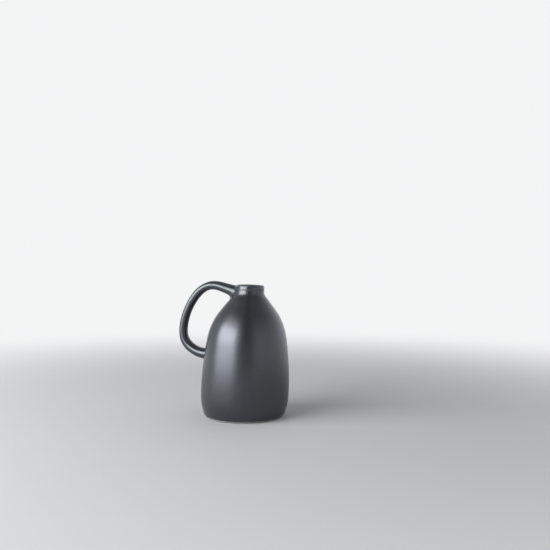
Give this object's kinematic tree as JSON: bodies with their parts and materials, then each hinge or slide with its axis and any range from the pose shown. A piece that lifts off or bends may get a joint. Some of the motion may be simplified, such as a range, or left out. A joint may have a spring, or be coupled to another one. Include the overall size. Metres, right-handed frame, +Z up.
{
  "type": "bud vase",
  "caption": "Small jug-shaped bud vase in satin black stoneware, with an egg-shaped body, a short narrow neck and a loop handle.",
  "frame": {"origin": "centre of the foot ring, on the plane the vase stands on", "axes": "+Z up towards the rim, handle on the -X side in the plane Y = 0, +Y away from a viewer who has the handle on the left"},
  "size_m": [0.1352, 0.101, 0.1544],
  "materials": {
    "black_glaze": "satin matt charcoal black glaze over stoneware",
    "bare_clay": "dry unglazed dark stoneware, turned smooth",
    "liner_glaze": "smooth black glaze, glossier than the outside"
  },
  "bodies": {
    "root": {"body": "black_glaze", "foot_ring": "bare_clay", "handle": "black_glaze", "neck_slip_joint": "black_glaze", "tail_slip_joint": "black_glaze", "liner_glaze": "liner_glaze"}
  },
  "joints": []
}
